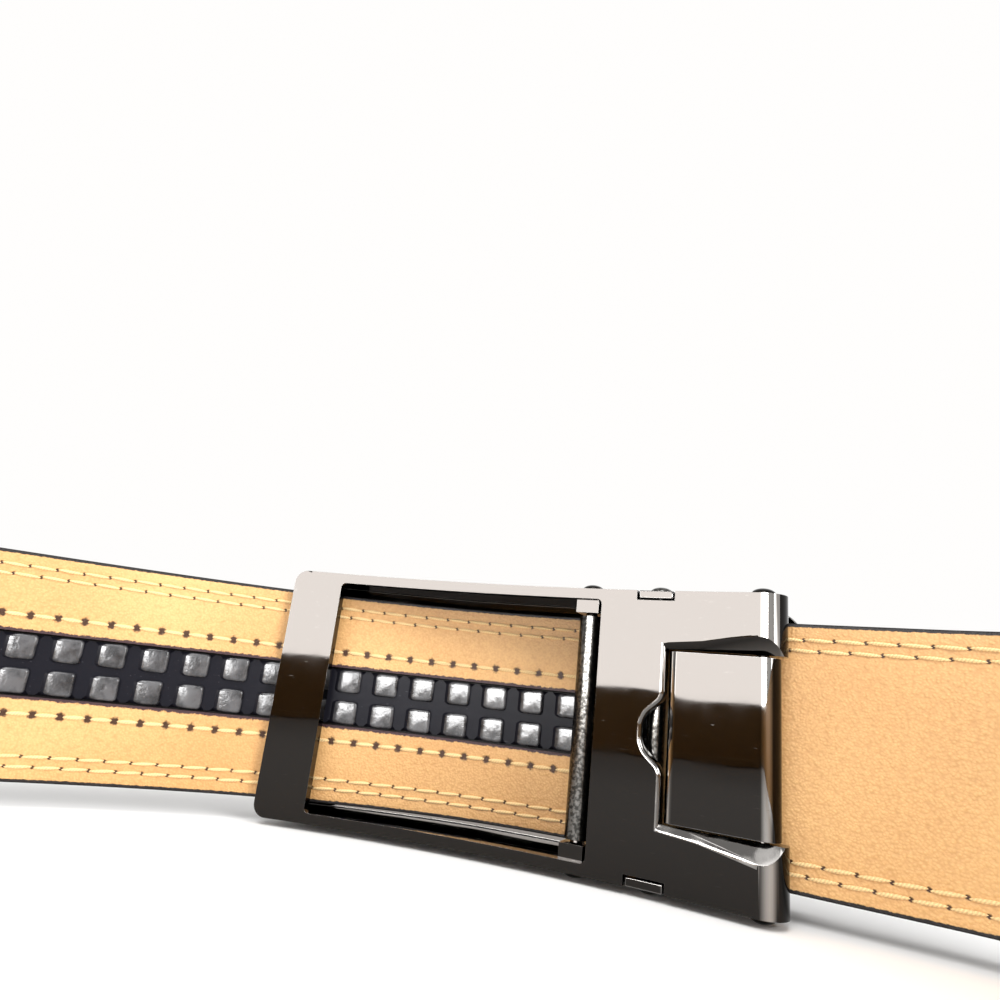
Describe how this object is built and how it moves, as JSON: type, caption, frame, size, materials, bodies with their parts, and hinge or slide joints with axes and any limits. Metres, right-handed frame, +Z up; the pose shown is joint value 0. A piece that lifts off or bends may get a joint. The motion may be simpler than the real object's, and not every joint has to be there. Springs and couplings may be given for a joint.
{
  "type": "ratchet belt",
  "caption": "Fastened leather ratchet belt standing on its edge: toothed track, curved dark metal buckle with a sprung roller pawl and a hinged clamp flap.",
  "frame": {"origin": "under the middle of the whole belt's box, on the surface that the belt stands on", "axes": "+Z up, across the strap's width; +Y from the buckle to the far side of the loop; +X to the side where the free end enters the buckle"},
  "size_m": [0.2504, 0.3708, 0.0432],
  "materials": {
    "dark_metal": "mirror-polished dark nickel plate with fine scratches",
    "rough_metal": "dark nickel plate over a pebbled casting",
    "black_leather": "smooth black leather with painted edges",
    "tan_leather": "grained tan leather with cream thread",
    "track_plastic": "glossy black moulding"
  },
  "bodies": {
    "belt": {"back_frame": "dark_metal", "front_case": "dark_metal", "clamp_bed": "dark_metal", "pawl_pin": "dark_metal", "clamp_bar": "rough_metal", "flap_pin": "dark_metal", "strap_outer": "black_leather", "strap_lining": "tan_leather", "ratchet_track": "track_plastic"},
    "flap": {"clamp_flap": "dark_metal"},
    "pawl": {"pawl": "rough_metal"}
  },
  "joints": [
    {"name": "flap_hinge", "type": "hinge", "parent": "belt", "child": "flap", "pos_m": [-0.03792, -0.16859, 0.0216], "axis": [0, 0, 1], "range_deg": [0, 95]},
    {"name": "pawl_hinge", "type": "hinge", "parent": "belt", "child": "pawl", "pos_m": [-0.01201, -0.17281, 0.0216], "axis": [0, 0, -1], "range_deg": [0, 8], "stiffness_Nm_per_rad": 0.02, "springref_deg": -5.73}
  ]
}
